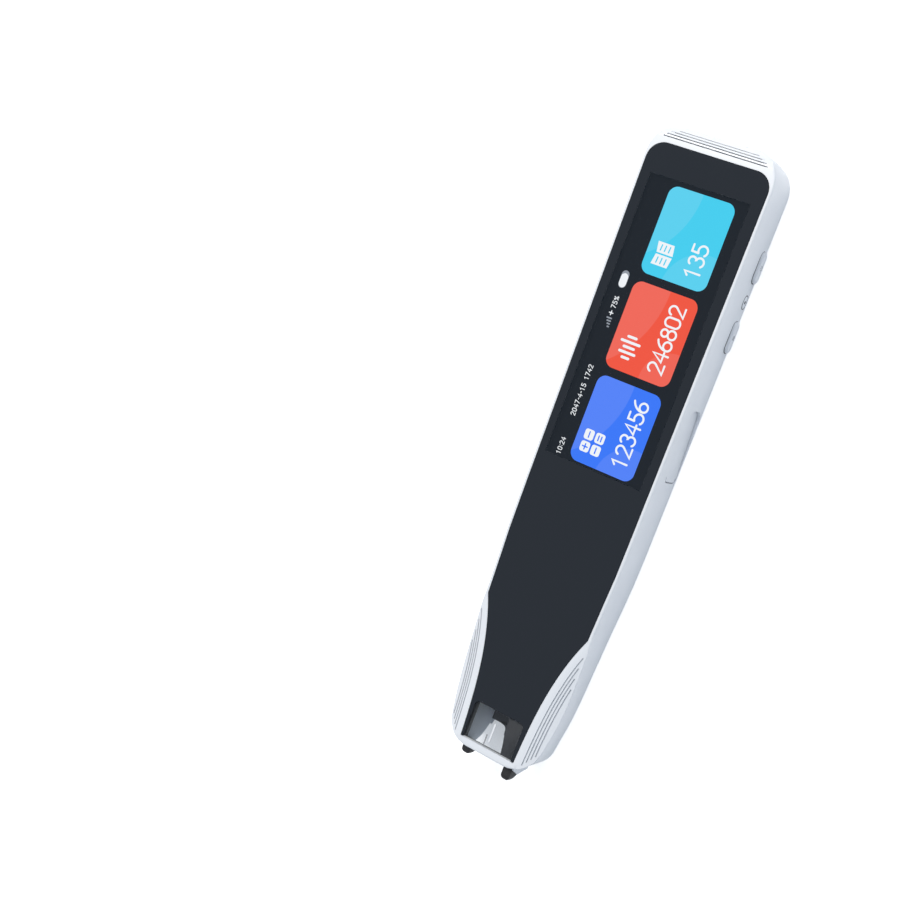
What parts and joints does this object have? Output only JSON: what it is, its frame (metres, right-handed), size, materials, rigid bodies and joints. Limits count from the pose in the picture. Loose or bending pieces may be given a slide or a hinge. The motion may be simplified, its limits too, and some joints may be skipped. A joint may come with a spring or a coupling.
{
  "type": "scanning translator pen",
  "caption": "Flat pen-shaped handheld translator with a touch screen, side keys, a covered charging port and a reading window between two feet at the tip.",
  "frame": {"origin": "middle of the flat back, half way between the tip and the top end of the housing", "axes": "+X to the right seen from the front, +Y to the top end, +Z out of the screen"},
  "size_m": [0.0352, 0.1646, 0.014],
  "materials": {
    "white_shell": "satin white moulded shell",
    "cover_glass": "dark printed cover glass, polished",
    "clear_window": "clear polished window",
    "screen": "lit colour screen",
    "black_plastic": "fine matte black",
    "hood_plastic": "dark grey matte lining",
    "light_lining": "light grey matte lining",
    "red_plastic": "matte red",
    "sheet_metal": "rolled sheet",
    "screw_steel": "dark plated",
    "spring_steel": "drawn wire",
    "board_green": "solder mask",
    "dome_gold": "plated dome",
    "cell_foil": "foil pouch",
    "foam": "closed cell foam",
    "diffuser": "light guide frame",
    "led_yellow": "phosphor dome",
    "ribbon_film": "polyimide film"
  },
  "bodies": {
    "pen": {"housing": "white_shell", "rear_cover": "white_shell", "front_glass": "cover_glass", "scan_window": "clear_window", "display_panel": "screen", "backlight_unit": "diffuser", "mid_frame": "sheet_metal", "frame_screws": "screw_steel", "main_board": "board_green", "board_screws": "screw_steel", "shield_can": "sheet_metal", "battery": "cell_foil", "battery_pads": "foam", "speaker": "black_plastic", "key_board": "board_green", "dome_switches": "dome_gold", "microphone": "sheet_metal", "mic_trim": "white_shell", "usb_socket": "sheet_metal", "port_cover_pin": "spring_steel", "lanyard_insert": "white_shell", "scan_hood": "hood_plastic", "side_lining": "light_lining", "camera_module": "black_plastic", "camera_lens": "black_plastic", "light_board": "board_green", "reading_leds": "led_yellow", "camera_ribbon": "ribbon_film", "trigger_switch": "black_plastic", "trigger_spring": "spring_steel", "support_foot": "black_plastic"},
    "power_key": {"power_button": "white_shell"},
    "menu_key": {"menu_button": "white_shell"},
    "trigger": {"trigger_foot": "black_plastic", "switch_plunger": "red_plastic"},
    "cover": {"port_cover": "white_shell"}
  },
  "joints": [
    {"name": "power_press", "type": "slide", "parent": "pen", "child": "power_key", "axis": [-0.9968, 0, 0.0797], "range_m": [0, 0.00034], "stiffness_N_per_m": 2500, "springref_m": -0.0004},
    {"name": "menu_press", "type": "slide", "parent": "pen", "child": "menu_key", "axis": [-0.9968, 0, 0.0797], "range_m": [0, 0.00034], "stiffness_N_per_m": 2500, "springref_m": -0.0004},
    {"name": "trigger_slide", "type": "slide", "parent": "pen", "child": "trigger", "axis": [0, 1, 0], "range_m": [0, 0.0013], "stiffness_N_per_m": 250, "springref_m": -0.001, "deforming": ["trigger_spring"]},
    {"name": "port_cover_hinge", "type": "hinge", "parent": "pen", "child": "cover", "pos_m": [0.01578, -0.0006, 0.00544], "axis": [-0.0797, 0, -0.9968], "range_deg": [0, 90]}
  ]
}
